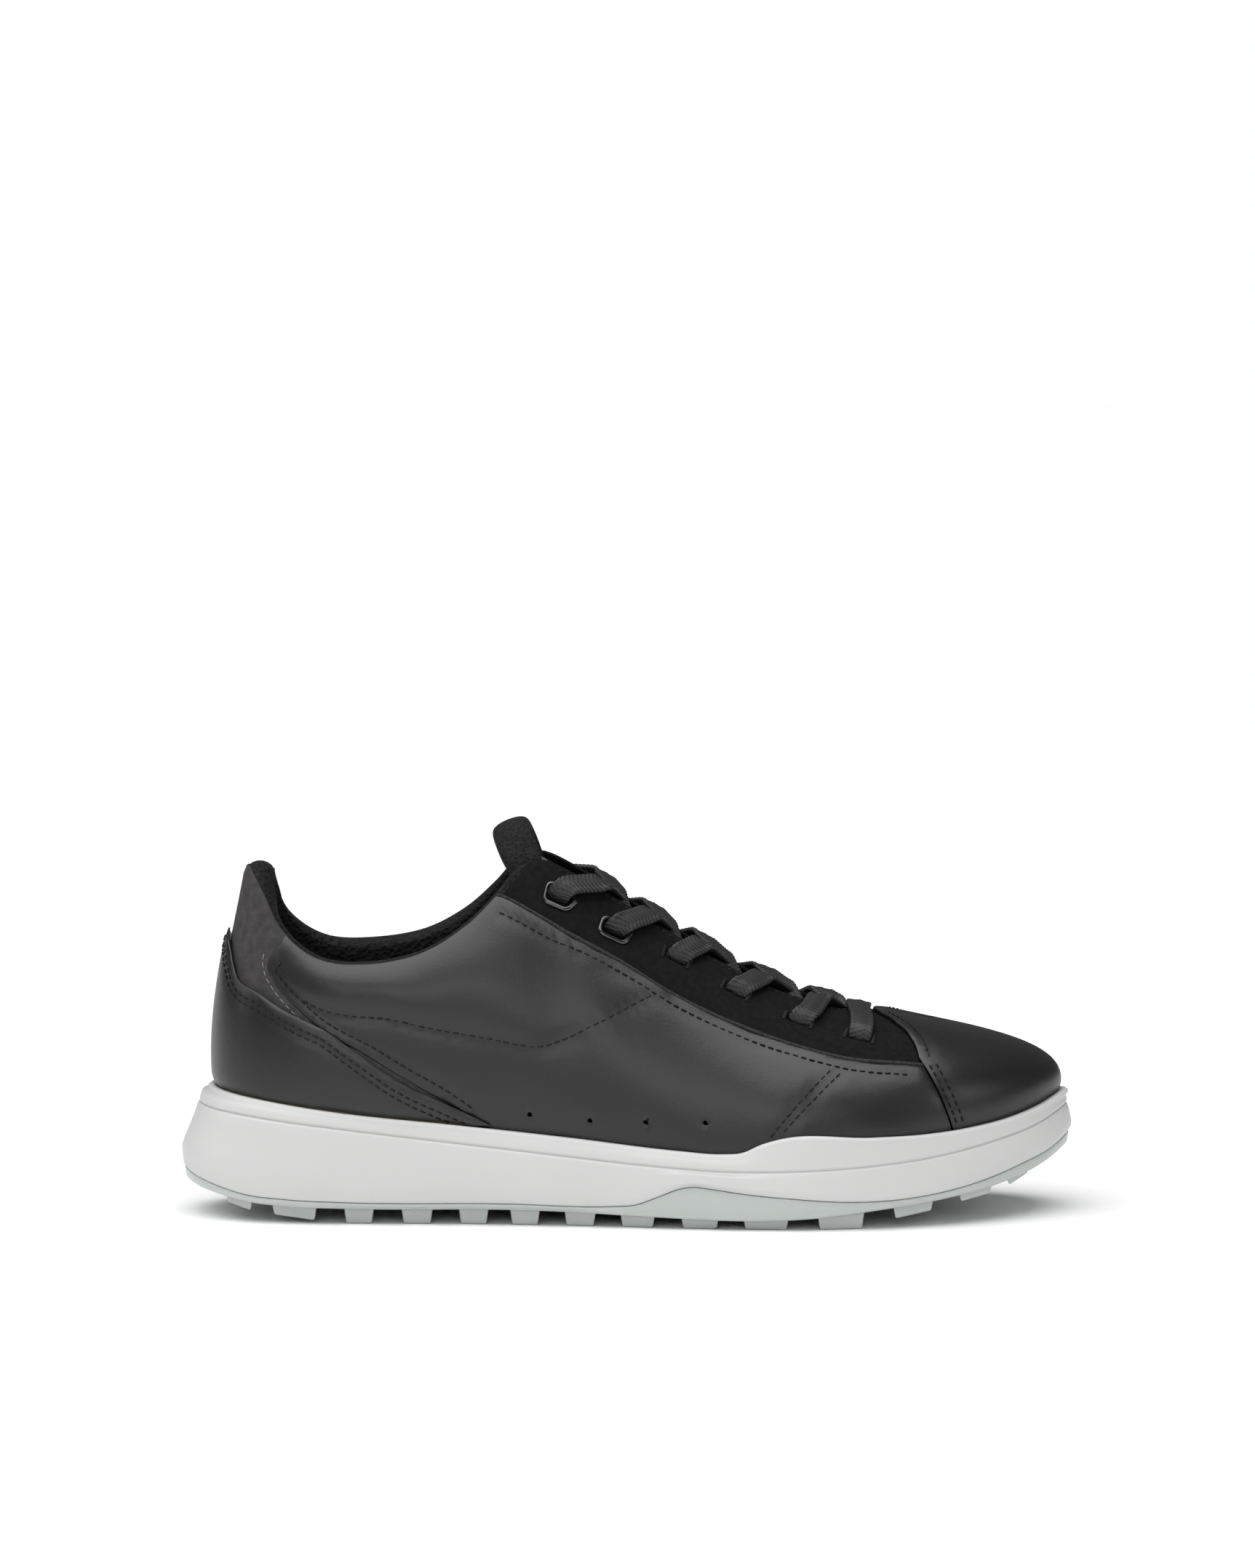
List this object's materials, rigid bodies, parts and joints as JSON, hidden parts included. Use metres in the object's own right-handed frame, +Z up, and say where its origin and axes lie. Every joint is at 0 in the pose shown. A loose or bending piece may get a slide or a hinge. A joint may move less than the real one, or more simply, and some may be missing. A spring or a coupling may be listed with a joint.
{
  "type": "golf shoe",
  "caption": "Laced low golf shoe for the right foot, with a leather upper, foam midsole and lugged rubber outsole.",
  "frame": {"origin": "centre of the bounding box's bottom, on the ground under the lugs", "axes": "+X from heel to toe, +Z up, lateral (outer) side at -Y"},
  "size_m": [0.2984, 0.1085, 0.1278],
  "materials": {
    "tread_rubber": "translucent pale grey-green rubber, satin",
    "midsole_foam": "white moulded foam, fine pebble grain on the sides",
    "shank_steel": "plain spring steel",
    "board": "stiff fibre board",
    "inlay_textile": "black knitted textile on foam",
    "smooth_leather": "smooth black leather, soft sheen",
    "charcoal_nubuck": "charcoal nubuck, matt",
    "black_nubuck": "black nubuck, matt",
    "padding_foam": "open soft foam",
    "lining_mesh": "black spacer mesh",
    "tongue_mesh": "black padded mesh",
    "eyelet_metal": "gloss black metal",
    "lace_braid": "flat black braid",
    "lace_tip": "gloss black film"
  },
  "bodies": {
    "shoe": {"outsole": "tread_rubber", "midsole": "midsole_foam", "shank": "shank_steel", "insole_board": "board", "vamp": "smooth_leather", "quarter_lateral": "smooth_leather", "quarter_medial": "smooth_leather", "heel_cap": "smooth_leather", "heel_tab": "charcoal_nubuck", "heel_counter": "board", "toe_puff": "board", "eyelet_facing": "black_nubuck", "collar_padding": "padding_foam", "lining": "lining_mesh", "eyelet_lateral_1": "eyelet_metal", "eyelet_lateral_2": "eyelet_metal", "eyelet_medial_1": "eyelet_metal", "eyelet_medial_2": "eyelet_metal", "shoelace": "lace_braid", "lace_tip_lateral": "lace_tip", "lace_tip_medial": "lace_tip"},
    "tongue": {"tongue_face": "tongue_mesh", "tongue_foam": "padding_foam", "tongue_lining": "lining_mesh", "tongue_label": "charcoal_nubuck"},
    "insole": {"inlay_sole": "inlay_textile"}
  },
  "joints": [
    {"name": "tongue_tilt", "type": "hinge", "parent": "shoe", "child": "tongue", "pos_m": [0.0711, 0.00025, 0.06], "axis": [0, -1, 0], "range_deg": [0, 6]},
    {"name": "insole_lift", "type": "hinge", "parent": "shoe", "child": "insole", "pos_m": [0.1241, 0.00025, 0.0315], "axis": [0, 1, 0], "range_deg": [0, 3.5]}
  ]
}
